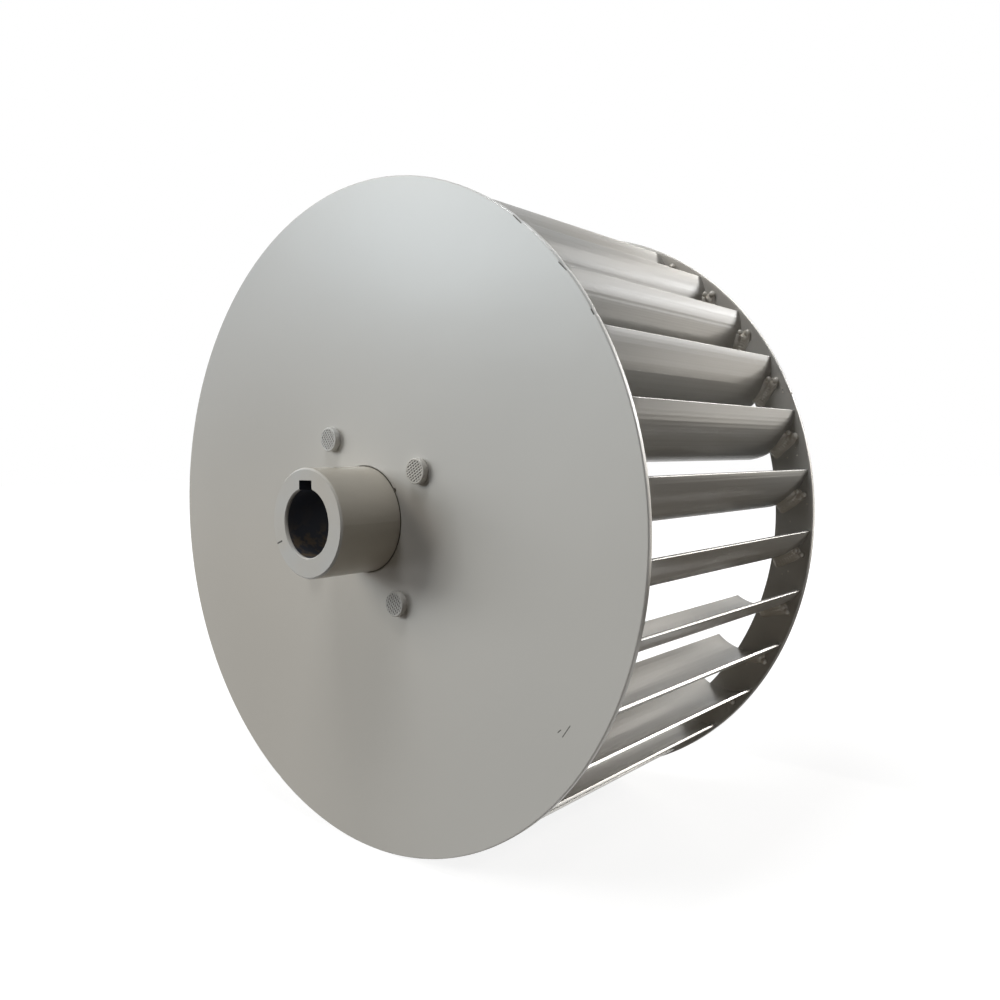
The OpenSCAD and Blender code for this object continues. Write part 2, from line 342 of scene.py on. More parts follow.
def plate_surface(s, around=960, across=34):
    """The ring section turned round the shaft. The hole's radius grows at the notch to the notch's own
    circle, the rim's shrinks at each dent by a bell, and the sheet waves along Y by a sum of cosines of angle
    and radius, which fades out towards the rear face, because that carries the cage and the flange."""
    notch_fade, dent_reach = 4 * MM, 0.8 * MM
    angle = np.linspace(0, 2 * pi, around, endpoint=False)[:, None]
    radius, depth = ring_section(s.hole_radius, s.wheel_radius, 0.0, s.plate_back, s.sheet_edge, across)
    radius, depth = radius[None, :], depth[None, :]
    off = turned_off(angle, s.notch_angle) * s.hole_radius
    bite = np.sqrt(np.clip(s.notch_radius ** 2 - off ** 2, 0, None))
    radius = radius + bite * np.clip(1 - (radius - s.hole_radius) / notch_fade, 0, 1)
    out = radius / s.wheel_radius
    wave = s.plate_wave * out ** 2 * (0.5 * np.cos(2 * angle + 0.6) + 0.3 * np.cos(3 * angle - 1.1)
                                      + 0.2 * np.cos(7 * angle + 2.0) * out ** 4)
    for at, width, deep in RIM_DENTS:
        near = bell(turned_off(angle, radians(at)), radians(width))
        radius = radius - deep * MM * near * bell(s.wheel_radius - radius, dent_reach)
    return wheel_point(radius, angle, depth + wave * np.clip(1 - depth / s.plate_back, 0, 1))


def ring_surface(s, around=720, across=12):
    """The ring section of the inlet ring, turned round the shaft."""
    angle = np.linspace(0, 2 * pi, around, endpoint=False)[:, None]
    radius, depth = ring_section(s.wheel_radius - s.ring_width, s.wheel_radius, s.ring_front, s.ring_back,
                                 s.sheet_edge, across)
    return wheel_point(radius[None, :], angle, depth[None, :])


def blade_curve(s):
    """Centre and end angles of the arc of a blade whose outer edge lies at angle 0: the circle of the curve's
    radius through both edges, whose centre lies on the side that the wheel turns to."""
    tip = s.wheel_radius - s.blade_inset
    root = tip - s.blade_depth
    x_in, z_in = root * cos(s.blade_trail), -root * sin(s.blade_trail)
    chord_x, chord_z = tip - x_in, -z_in
    chord = hypot(chord_x, chord_z)
    rise = sqrt(s.blade_curve ** 2 - chord ** 2 / 4)
    x, z = (tip + x_in) / 2 - rise * chord_z / chord, z_in / 2 + rise * chord_x / chord
    return x, z, atan2(-z, tip - x), atan2(z_in - z, x_in - x)


def round_blade(s, number, radius, angle, depth):
    """Points at a radius and angle round the centre of a blade's curve, for one blade or an array of them."""
    x, z, _, _ = blade_curve(s)
    spin = s.cage_turn + number * 2 * pi / s.blade_count
    across, up = x + radius * np.cos(angle), z + radius * np.sin(angle)
    across, up, depth, spin = np.broadcast_arrays(across, up, depth, spin)
    sine, cosine = np.sin(spin), np.cos(spin)
    return np.stack([across * cosine - up * sine, depth, across * sine + up * cosine], axis=-1)


def blade_surface(s, number, along=26, across=32, corner=5):
    """A rounded rectangle, as long as the arc and as thick as the sheet, bent round the blade's curve and
    carried from plate to ring. Near both ends it shrinks by a quarter circle of the edge's radius, which
    rounds them too. A low wave along the length keeps the sheet from looking ruled."""
    _, _, angle_out, angle_in = blade_curve(s)
    middle = s.blade_curve - s.blade_sheet / 2
    long_, half, edge = middle * (angle_out - angle_in), s.blade_sheet / 2, s.blade_edge
    start, end = s.plate_back, s.ring_front
    quarter = np.linspace(0, pi / 2, corner)
    lift, inset = edge * (1 - np.cos(quarter)), edge * (1 - np.sin(quarter))
    straight = np.linspace(start + edge, end - edge, along)[1:-1]
    depth = np.concatenate([start + lift, straight, end - lift[::-1]])[:, None]
    inset = np.concatenate([inset, np.zeros(along - 2), inset[::-1]])[:, None]
    walk = edge + (long_ - 2 * edge) * eased(across)[1:-1]
    place = np.concatenate([edge - edge * np.cos(quarter), walk, long_ - edge + edge * np.sin(quarter)])
    rise = np.concatenate([half - edge + edge * np.sin(quarter), np.full(len(walk), half),
                           half - edge + edge * np.cos(quarter)])
    place, rise = np.concatenate([place, place[::-1]])[None, :], np.concatenate([rise, -rise[::-1]])[None, :]
    place = place + inset * (1 - 2 * place / long_)
    rise = rise * (1 - inset / half)
    phase = number * GOLDEN_STEP
    run = (depth - start) / (end - start)
    long_wave = np.cos(2 * pi * 1.3 * run + phase) * np.sin(pi * place / long_)
    short_wave = 0.5 * np.cos(5 * run + 2 * phase) * np.cos(pi * place / long_)
    wave = s.blade_wave * np.sin(pi * run) * (long_wave + short_wave)
    points = round_blade(s, number, middle + rise + wave, angle_out - place / middle, depth)
    # share of the rounded edge, which the coat makes bare and light, partly as a painted highlight
    bare = np.clip(1 - np.minimum(place, long_ - place) / edge, 0, 1)
    # a step from blade to blade gives each its own roll marks
    return points, (place + 0.37 * number).ravel(), bare.ravel()


def blade_faces(rows, columns):
    """The closed grid of a blade's sides, and at both ends a ladder of quads between its two faces."""
    i = np.arange(columns // 2 - 1)
    ladder = np.stack([i, i + 1, columns - 2 - i, columns - 1 - i], axis=-1)
    return [grid_faces(rows, columns, close_columns=True), ladder, (ladder + (rows - 1) * columns)[:, ::-1]]


def bead_surface(s, j, numbers, seed, along=84, across=26):
    """Fillet welds in polar form about the corner of blade and sheet, for each blade in numbers. The distance
    from the corner is the hollow face's circle, plus a ridge along both toes, plus ripples
    cos(2 pi run / pitch + bow), plus two bulges at the start. Both ends close by a factor
    sqrt(1 - t squared)."""
    draw = np.random.default_rng(seed)

    def one(low, high):
        """A number drawn for each weld."""
        return draw.uniform(low, high, len(numbers))[:, None, None]

    angle_out = blade_curve(s)[2]
    full = s.blade_curve * j.weld_run
    phi = np.linspace(0, pi / 2, across)[None, None, :]
    leg = j.weld_leg
    face = 1.6 * leg
    head_run, tail_run, sink = 2.2 * MM, 1.8 * MM, 0.06 * MM
    centre = leg / 2 + sqrt((face ** 2 - leg ** 2 / 2) / 2)
    hollow = centre * (np.cos(phi) + np.sin(phi)) - np.sqrt(face ** 2 - centre ** 2 * (1 - np.sin(2 * phi)))
    # the middle of the weld pool lags behind both toes, which gives the start its M shape
    head = (one(1.4, 2.3) * np.sin(2 * phi) ** 2 - 0.5) * MM
    tail = full - one(-0.2, 0.8) * MM * np.sin(phi)
    run = head + (tail - head) * eased(along)[None, :, None]
    toes = bell(phi - radians(13), radians(10)) + bell(phi - radians(77), radians(10))
    ripple = np.cos(2 * pi * run / j.weld_pitch + 2.6 * np.cos(2 * phi - pi / 2) + one(0, 2 * pi))
    uneven = 1 + 0.06 * np.sin(run / (3.1 * MM) + one(0, 2 * pi)) + 0.04 * np.sin(run / (1.7 * MM) + 3 * phi)
    distance = hollow * uneven + j.weld_toe * toes * np.sin(2 * phi) ** 0.5
    distance = distance + j.weld_ripple * ripple * np.sin(2 * phi)
    for place, height in START_BULGES:
        bulge = one(0.85, 1.1) * height * j.weld_drop * bell(phi - radians(place), radians(12))
        distance = distance + bulge * bell(run - head - head_run, 1.6 * MM)
    t_head = np.clip(1 - (run - head) / head_run, 0, 1)
    t_tail = np.clip(1 - (tail - run) / tail_run, 0, 1)
    distance = distance * np.sqrt(np.clip(1 - t_head ** 2, 0, 1) * np.clip(1 - t_tail ** 2, 0, 1))
    out, up = distance * np.cos(phi), distance * np.sin(phi)
    # the corner itself is the last column and closes the section; all is sunk a little into both sheets
    corner = np.full(out.shape[:2] + (1,), -sink)
    out = np.concatenate([out - sink, corner], axis=2)
    up = np.concatenate([up - sink, corner], axis=2)
    run = np.concatenate([run, run[:, :, :1]], axis=2)
    angle = angle_out - j.weld_start - run / s.blade_curve
    return out, up, angle


def drop_surface(centres, sizes, flat, rows=5, columns=10):
    """Small drops: spheres of the given radii about the centres, pressed flat along Y by a factor. Returns
    each drop's points, row by row and then its poles at low and high Y, and the faces of one drop, numbered
    from 0: the sides and the fans to the poles."""
    tilt = np.linspace(0, pi, rows + 2)[None, 1:-1, None]
    spin = np.linspace(0, 2 * pi, columns, endpoint=False)[None, None, :]
    size = sizes[:, None, None]
    body = np.stack(np.broadcast_arrays(size * np.sin(tilt) * np.cos(spin), -flat * size * np.cos(tilt),
                                        size * np.sin(tilt) * np.sin(spin)), axis=-1)
    pole = np.array([0, 1, 0]) * flat * size
    points = np.concatenate([body.reshape(len(sizes), -1, 3), -pole, pole], axis=1) + centres[:, None, :]
    ring, each = np.arange(columns), rows * columns
    fans = [fan_faces(ring, each), fan_faces(ring + each - columns, each + 1)[:, ::-1]]
    return points, [grid_faces(rows, columns, close_columns=True), np.concatenate(fans)]


# Materials

class Graph:
    """A node tree, with short ways to add and link nodes."""

    def __init__(self, tree):
        self.tree = tree

    def fill(self, socket, value):
        """Links a socket to another, or gives it a value of its own."""
        if isinstance(value, bpy.types.NodeSocket):
            self.tree.links.new(value, socket)
        else:
            socket.default_value = value

    def add(self, kind, inputs=None, **settings):
        """Adds a node, sets it up and fills its sockets."""
        node = self.tree.nodes.new(kind)
        for key, value in settings.items():
            setattr(node, key, value)
        for key, value in (inputs or {}).items():
            self.fill(node.inputs[key], value)
        return node

    def maths(self, operation, a, b=0.0, clamp=False):
        """Works on one or two numbers."""
        return self.add("ShaderNodeMath", {0: a, 1: b}, operation=operation, use_clamp=clamp).outputs[0]

    def span(self, value, low, high, to_low=0.0, to_high=1.0):
        """Maps value softly from low..high to to_low..to_high."""
        return self.add("ShaderNodeMapRange", {0: value, 1: low, 2: high, 3: to_low, 4: to_high},
                        interpolation_type="SMOOTHSTEP").outputs[0]

    def mix(self, factor, a, b):
        """Mixes two colours."""
        a, b = (c if isinstance(c, bpy.types.NodeSocket) else (*c, 1.0) for c in (a, b))
        return self.add("ShaderNodeMix", {0: factor, 6: a, 7: b}, data_type="RGBA").outputs[2]

    def scaled(self, colour, factor):
        """Multiplies a colour by a number."""
        return self.add("ShaderNodeVectorMath", {0: colour, "Scale": factor}, operation="SCALE").outputs[0]

    def vectors(self, operation, a, b=(0, 0, 0), out="Vector"):
        """Works on one or two vectors. out is Value where the result is a number."""
        return self.add("ShaderNodeVectorMath", {0: a, 1: b}, operation=operation).outputs[out]

    def parts(self, vector):
        """A vector's X, Y and Z."""
        return self.add("ShaderNodeSeparateXYZ", {0: vector}).outputs

    def most(self, *values):
        """The greatest of some numbers."""
        found = values[0]
        for value in values[1:]:
            found = self.maths("MAXIMUM", found, value)
        return found

    def looked_at(self):
        """1 for rays from the camera, off gloss and through glass, 0 for the light that falls on things."""
        path = self.add("ShaderNodeLightPath").outputs
        return self.most(path["Is Camera Ray"], path["Is Glossy Ray"], path["Is Transmission Ray"])


class Finish(Graph):
    """A new material with its shader and the piece's own coordinates. The seed shifts its noise."""

    def __init__(self, name, seed=0.0):
        self.material = bpy.data.materials.new(name)
        self.material.use_nodes = True
        super().__init__(self.material.node_tree)
        self.shader = self.tree.nodes["Principled BSDF"]
        self.place = self.add("ShaderNodeTexCoord").outputs["Object"]
        self.shifted = self.vectors("ADD", self.place, (seed, 2 * seed, 3 * seed))

    def noise(self, scale, detail=2.0, rough=0.5):
        """Soft noise of so many waves a metre, about 0.5."""
        inputs = {"Vector": self.shifted, "Scale": scale, "Detail": detail, "Roughness": rough}
        return self.add("ShaderNodeTexNoise", inputs).outputs[0]

    def near_line(self, start, end, width):
        """1 on the line from start to end and 0 at width from it, by the distance to its nearest point."""
        start, end = np.array(start) * MM, np.array(end) * MM
        along = end - start
        from_start = self.vectors("SUBTRACT", self.place, tuple(start))
        share_along = self.vectors("DOT_PRODUCT", from_start, tuple(along / (along @ along)), "Value")
        on_line = self.maths("MAXIMUM", self.maths("MINIMUM", share_along, 1.0), 0.0)
        gap = self.vectors("DISTANCE", from_start, self.scaled(tuple(along), on_line), "Value")
        return self.span(gap, 0.25 * width * MM, width * MM, 1.0, 0.0)

    def attribute(self, name):
        """The numbers that the mesh keeps under that name."""
        return self.add("ShaderNodeAttribute", attribute_name=name).outputs["Fac"]

    def axis_distance(self):
        """The distance from the shaft's axis, the root of X squared plus Z squared."""
        return self.vectors("LENGTH", self.vectors("MULTIPLY", self.place, (1, 0, 1)), out="Value")

    def bumped(self, height, distance, under=None, strength=1.0):
        """Raises the surface by height times distance, over another bump if one is given."""
        inputs = {"Strength": strength, "Distance": distance, "Height": height}
        if under:
            inputs["Normal"] = under
        return self.add("ShaderNodeBump", inputs).outputs[0]

    def dress(self, **sockets):
        """Fills the shader's sockets by name, with _ for a blank."""
        for key, value in sockets.items():
            self.fill(self.shader.inputs[key.replace("_", " ")], value)
        return self.material


def silver_coat(name, f, marks=(), tint=None, dark=None, across=None, edge=None, rim=0.0, joint=0.0,
                gloss=COAT_GLOSS, seed=0.0):
    """Satin silver-grey coat. Its colour drifts softly between cool and warm by noise; a sheet with marks has
    painted
    light and shade instead: cool at the top, warm at its low left and lighter to the right. Marks and the
    joint round the hub are dark and rough, and so are a rivet's pits, whose darkening is painted shade. Cut
    edges are bare and light, partly as a painted highlight, and the rolls left faint lines along a blade,
    fixed to the place across its arc."""
    g = Finish(name, seed)
    if marks:
        x, _, z = g.parts(g.place)
        # painted light and shade: cool towards the top, warm at the low left
        drift = g.maths("MULTIPLY", g.span(z, -0.04, 0.13, 1.0, 0.1), g.span(x, -0.10, 0.10, 1.0, 0.45))
    else:
        drift = g.span(g.noise(7.0), 0.25, 0.75)
    colour = g.mix(drift, tint or f.coat_cool, tint or f.coat_warm)
    colour = g.scaled(colour, g.span(g.noise(14.0, 0.0), 0.0, 1.0, 0.97, 1.03))
    if marks:
        # painted light: lighter towards the right
        colour = g.scaled(colour, g.span(x, -0.13, 0.13, 0.94, 1.10))
    rough = f.coat_rough
    radius = g.axis_distance()
    spots = [g.near_line(*mark) for mark in marks]
    # a rivet's pits are darkened here as painted shade
    if dark:
        spots.append(g.attribute(dark))
    if joint:
        spots.append(g.span(radius, joint + 0.05 * MM, joint + 0.2 * MM, 1.0, 0.0))
    if spots:
        gritty = g.span(g.noise(GRAIN, 3.0, 0.7), 0.25, 0.6, 0.75, 1.0)
        dirt = g.maths("MULTIPLY", g.most(*spots), gritty)
        # dark marks, the joint's dirt and the rivets' painted pit shade
        colour = g.mix(dirt, colour, f.dark_tone)
        rough = g.maths("ADD", rough, g.maths("MULTIPLY", dirt, 0.25), clamp=True)
    metal = 0.0
    # bare metal on cut edges and rims, in a light tone that is partly a painted highlight
    if edge or rim:
        bare = g.attribute(edge) if edge else g.span(radius, rim - 0.35 * MM, rim - 0.2 * MM)
        bare = g.maths("MULTIPLY", bare, f.edge_bare_and_highlight if edge else f.rim_bare_and_highlight)
        colour = g.mix(bare, colour, f.edge_highlight_tone)
        metal = bare
    skin = g.bumped(g.noise(GRAIN), FINEST)
    if across:
        lines = g.add("ShaderNodeTexNoise", {"W": g.attribute(across), "Scale": 560.0, "Detail": 1.0},
                      noise_dimensions="1D")
        skin = g.bumped(lines.outputs[0], 0.09 * MM, skin)
    else:
        skin = g.bumped(g.noise(30.0), 0.12 * MM, skin)
    return g.dress(Base_Color=colour, Metallic=metal, Roughness=rough, Normal=skin, IOR=COAT_IOR,
                   Specular_IOR_Level=gloss)


def hub_coat(name, f):
    """The same coat over the turned hub, with the bore and keyway left in bare steel, coloured near black as
    painted shade
    inside them: they are where the distance from the shaft's axis is under the bore's radius, or where X and
    Z are in the keyway."""
    g = Finish(name)
    x, y, z = g.parts(g.place)
    radius = g.axis_distance()
    in_bore = g.maths("MULTIPLY", g.maths("LESS_THAN", radius, BORE_LIMIT), g.span(y, -29.0 * MM, -28.5 * MM))
    in_height = g.maths("MULTIPLY", g.maths("GREATER_THAN", z, 0.0), g.maths("LESS_THAN", z, ROOF_LIMIT))
    in_key = g.maths("MULTIPLY", g.maths("LESS_THAN", g.maths("ABSOLUTE", x), KEY_LIMIT), in_height)
    bare = g.most(in_bore, in_key)
    drift = g.span(g.noise(24.0, 3.0, 0.55), 0.3, 0.7)
    colour = g.mix(drift, f.coat_cool, f.coat_warm)
    # the boss's wall darker and warmer than its face, as painted shade
    colour = g.mix(g.span(radius, BOSS_LIMIT, BOSS_LIMIT + 0.3 * MM), colour, f.boss_wall_shade_tone)
    # the front chamfer lighter, as a painted highlight with some wear
    chamfer_sheen = g.span(g.maths("SUBTRACT", radius, y), CHAMFER_LIMIT, CHAMFER_LIMIT + 0.2 * MM)
    chamfer_sheen = g.maths("MULTIPLY", chamfer_sheen, g.span(y, -5 * MM, -1 * MM, 1.0, 0.0))
    colour = g.mix(chamfer_sheen, colour, f.chamfer_highlight_tone)
    colour = g.scaled(colour, g.span(g.noise(14.0, 0.0), 0.0, 1.0, 0.97, 1.03))
    # the dark joint where the boss passes the plate's front face
    root = g.maths("MULTIPLY", g.span(y, -0.15 * MM, -0.05 * MM), g.span(y, 0.2 * MM, 0.4 * MM, 1.0, 0.0))
    dirt = g.most(root, *[g.near_line(*mark) for mark in HUB_MARKS])
    colour = g.mix(dirt, colour, f.dark_tone)
    # a warm, patchy painted reflection low in the bore
    spread = g.span(g.noise(160.0, 4.0, 0.6), 0.45, 0.6)
    low_reflection = g.maths("MULTIPLY", spread, g.span(z, -9 * MM, 1 * MM, 1.0, 0.1))
    # the bore and keyway near black, painted shade over bare steel, with that reflection
    colour = g.mix(bare, colour, g.mix(low_reflection, f.bore_shade_tone, f.bore_reflection_tone))
    rough = g.add("ShaderNodeMix", {0: bare, 2: f.coat_rough, 3: f.bore_rough}).outputs[0]
    # fine rings from the lathe, on walls and faces alike, because radius plus Y runs along both
    rings = g.maths("SINE", g.maths("MULTIPLY", g.maths("ADD", y, radius), 2 * pi / LATHE_PITCH))
    skin = g.bumped(g.noise(520.0), 0.02 * MM, g.bumped(rings, FINEST, strength=0.5))
    return g.dress(Base_Color=colour, Roughness=rough, Normal=skin, IOR=COAT_IOR,
                   Specular_IOR_Level=COAT_GLOSS)


def screw_finish(name, f):
    """Blackened steel with a fine grain."""
    g = Finish(name)
    grain = g.span(g.noise(700.0, 4.0, 0.6), 0.3, 0.7)
    rough = g.span(g.noise(400.0, 3.0, 0.6), 0.3, 0.7, 0.30, 0.48)
    return g.dress(Base_Color=g.mix(grain, f.screw_dark, f.screw_light), Metallic=0.9,
                   Roughness=rough, Normal=g.bumped(g.noise(1500.0), 0.02 * MM, strength=0.5))


def material(name, make, *args, **keys):
    """The material of that name, made once."""
    return bpy.data.materials.get(name) or make(name, *args, **keys)


# Operators

class ImpellerOperator:
    """What the operators of the pieces share"""
    bl_options = {"REGISTER", "UNDO"}

    def execute(self, context):
        scene = context.scene
        self.build(scene.impeller_sheets, scene.impeller_joints, scene.impeller_finish)
        return {"FINISHED"}


def turned_sheet(name, points, coat, node):
    """A sheet whose grid of points closes both ways."""
    faces = grid_faces(*points.shape[:2], close_rows=True, close_columns=True)
    new_piece(name, points.reshape(-1, 3), [faces], coat, node)


class IMPELLER_OT_backplate(ImpellerOperator, bpy.types.Operator):
    """Build the round backplate with its centre hole, notch and rim marks"""
    bl_idname = "impeller.backplate"
    bl_label = "Backplate"

    def build(self, s, j, f):
        coat = material("plate_coat", silver_coat, f, PLATE_MARKS, rim=s.wheel_radius, joint=s.hole_radius)
        turned_sheet("backplate_sheet", plate_surface(s), coat, "backplate")


class IMPELLER_OT_ring(ImpellerOperator, bpy.types.Operator):
    """Build the flat inlet ring"""
    bl_idname = "impeller.inlet_ring"
    bl_label = "Inlet ring"

    def build(self, s, j, f):
        coat = material("ring_coat", silver_coat, f, rim=s.wheel_radius, seed=0.7)
        turned_sheet("inlet_ring_sheet", ring_surface(s), coat, "inlet_ring")


class IMPELLER_OT_blades(ImpellerOperator, bpy.types.Operator):
    """Build the rolled blades of the cage, one piece each"""
    bl_idname = "impeller.blades"
    bl_label = "Blades"

    def build(self, s, j, f):
        coat = material("blade_coat", silver_coat, f, across="across", edge="edge", seed=1.3)
        for number in range(s.blade_count):
            points, across, edge = blade_surface(s, number)
            new_piece(f"blade_sheet_{number + 1:02d}", points.reshape(-1, 3), blade_faces(*points.shape[:2]),
                      coat, f"blade_{number + 1:02d}", {"across": across, "edge": edge})


class IMPELLER_OT_welds(ImpellerOperator, bpy.types.Operator):
    """Build the fillet welds of the blades to the ring and to the backplate, with their spatter"""
    bl_idname = "impeller.welds"
    bl_label = "Welds"

    def build(self, s, j, f):
        # the lighter weld tone paints the highlights on the welds' curves
        coat = material("weld_coat", silver_coat, f, tint=tuple(f.weld_coat_and_highlight_tone), gloss=1.0, seed=2.1)
        numbers = np.arange(s.blade_count)
        for sheet, level, side, seed in (("ring", s.ring_front, -1, 5), ("plate", s.plate_back, 1, 9)):
            out, up, angle = bead_surface(s, j, numbers, seed)
            points = round_blade(s, numbers[:, None, None], s.blade_curve + out, angle, level + side * up)
            count, rows, columns = points.shape[:3]
            # each end of a bead is a fan from the corner, the last column
            end = fan_faces(np.arange(columns - 1), columns - 1)[:-1]
            ends = np.concatenate([end, (end + (rows - 1) * columns)[:, ::-1]])
            parts = [grid_faces(rows, columns, close_columns=True), ends]
            beads = points.reshape(-1, 3)
            faces = outward(beads, [copies_of(part, count, rows * columns) for part in parts])
            drops, parts = drop_surface(*self.drop_places(s, j, numbers, level, side, seed), 0.7)
            everything = np.concatenate([beads, drops.reshape(-1, 3)])
            parts = [copies_of(part, *drops.shape[:2]) + len(beads) for part in parts]
            new_piece(f"{sheet}_weld_beads", everything, faces + outward(everything, parts), coat,
                      f"{sheet}_welds")

    def drop_places(self, s, j, numbers, level, side, seed):
        """Centres and radii of the small drops thrown on the sheet beside each weld, within the ring's width,
        and of the two drops that it starts with, one on the sheet and one on the blade."""
        draw = np.random.default_rng(seed + 100)
        number = np.repeat(numbers, 3)
        start = blade_curve(s)[2] - j.weld_start
        angle = start + draw.uniform(-0.5, 0.15, len(number))
        away = draw.uniform(5.5, 9.5, len(number)) * MM
        size = draw.uniform(0.22, 0.42, len(number)) * MM
        centres = round_blade(s, number, s.blade_curve + away, angle, level + side * 0.05 * MM)
        radius = np.hypot(centres[:, 0], centres[:, 2])
        keep = (radius < s.wheel_radius - 1 * MM) & (radius > s.wheel_radius - s.ring_width + 1 * MM)
        centres, sizes = [centres[keep]], [size[keep]]
        for out, up, part in START_DROPS:
            angle = start - draw.uniform(0.1, 0.6, len(numbers)) * MM / s.blade_curve
            centres.append(round_blade(s, numbers, s.blade_curve + out * MM, angle, level + side * up * MM))
            sizes.append(part * j.weld_drop * draw.uniform(0.85, 1.1, len(numbers)))
        if side < 0:
            # one large drop that hangs on the ring's rim
            centres.append(wheel_point(s.wheel_radius - 0.25 * MM, [radians(22.2)], level + 0.4 * MM))
            sizes.append([0.75 * MM])
        return np.concatenate(centres), np.concatenate(sizes)


class IMPELLER_OT_rivets(ImpellerOperator, bpy.types.Operator):
    """Build the rivets with their hatched flat heads in front and round heads behind"""
    bl_idname = "impeller.rivets"
    bl_label = "Rivets"

    def build(self, s, j, f):
        # the hatching's pits are darkened as painted shade
        coat = material("rivet_coat", silver_coat, f, dark="pit", seed=3.0)
        for number in range(j.rivet_count):
            points, faces, pits = rivet_surface(j, number)
            new_piece(f"rivet_body_{number + 1}", points, faces, coat, f"rivet_{number + 1}",
                      {"pit": pits})


def rivet_surface(j, number, cells=84):
    """The head's face is a square grid bent to a disc, x = u sqrt(1 - v squared / 2) and the same for z, sunk
    where two sets of rows cross: depth * cosine * cosine, both raised a little and cut at 0. Its border then
    runs along a profile: rounded rim, wall, seat, shank and round head, which closes at a pole."""
    line = np.linspace(-1, 1, cells + 1)
    u, v = np.meshgrid(line, line, indexing="ij")
    x, z = u * np.sqrt(1 - v ** 2 / 2), v * np.sqrt(1 - u ** 2 / 2)
    front, flange, back = RIVET_LOW.y, j.flange_back, RIVET_HIGH.y
    edge, border_width, seat_gap = 0.45 * MM, 0.15 * MM, 0.15 * MM
    flat = j.rivet_head - edge
    x, z = x * flat, z * flat
    turned = 0.21 * number

    def rows(angle, pitch, raised):
        """Rows of dashes from 0 to 1, wider the more they are raised."""
        way = radians(angle) + turned
        wave = np.cos(2 * pi * (x * np.cos(way) + z * np.sin(way)) / pitch)
        return np.clip(wave + raised, 0, None) / (1 + raised)

    pits = rows(121, j.hatch_pitch, 0.4) * rows(18, 1.35 * j.hatch_pitch, 1.1)
    pits = pits * np.clip((flat - border_width - np.hypot(x, z)) / (0.5 * MM), 0, 1)
    face = np.stack([x, front + j.hatch_depth * pits, z], axis=-1).reshape(-1, 3)
    index = np.arange((cells + 1) ** 2).reshape(cells + 1, cells + 1)
    border = np.concatenate([index[:-1, 0], index[-1, :-1], index[1:, -1][::-1], index[0, 1:][::-1]])
    angle = np.arctan2(face[border, 2], face[border, 0])
    quarter = np.linspace(0, pi / 2, 7)[1:]
    rise = back - flange
    dome = (j.rivet_head ** 2 + rise ** 2) / (2 * rise)
    sweep = np.linspace(np.arcsin(j.rivet_head / dome), 0, 14)[:-1]
    radius = np.concatenate([flat + edge * np.sin(quarter), [j.rivet_head, j.rivet_head - 0.1 * MM],
                             [j.rivet_shank, j.rivet_shank], dome * np.sin(sweep)])
    depth = np.concatenate([front + edge * (1 - np.cos(quarter)), [-seat_gap, 0.0], [0.0, flange],
                            back - dome + dome * np.cos(sweep)])
    wall = wheel_point(radius[:, None], angle[None, :], depth[:, None]).reshape(-1, 3)
    points = np.concatenate([face, wall, [[0, back, 0]]])
    count, first = len(border), len(face)
    ring = first + np.arange(count)
    joint = np.stack([border, np.roll(border, -1), np.roll(ring, -1), ring], axis=-1)
    faces = [np.concatenate([grid_faces(cells + 1, cells + 1), joint[:, ::-1],
                             grid_faces(len(radius), count, close_columns=True, start=first)]),
             fan_faces(ring + (len(radius) - 1) * count, len(points) - 1)]
    at = j.rivet_turn + number * 2 * pi / j.rivet_count
    points = points + np.array([j.rivet_circle * cos(at), 0, j.rivet_circle * sin(at)])
    # the pits' depth, which the coat turns into painted shade
    values = np.zeros(len(points))
    values[:first] = np.sqrt(pits.ravel())
    return points, faces, values


class IMPELLER_OT_hub(ImpellerOperator, bpy.types.Operator):
    """Finish the turned hub and its set screw, which keep their own solids"""
    bl_idname = "impeller.hub"
    bl_label = "Hub and set screw"

    def build(self, s, j, f):
        for node, finish in (("hub", material("hub_coat", hub_coat, f)),
                             ("set_screw", material("screw_finish", screw_finish, f))):
            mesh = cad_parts[node].data
            if not mesh.materials:
                mesh.materials.append(finish)
            for k in range(len(mesh.materials)):
                mesh.materials[k] = finish


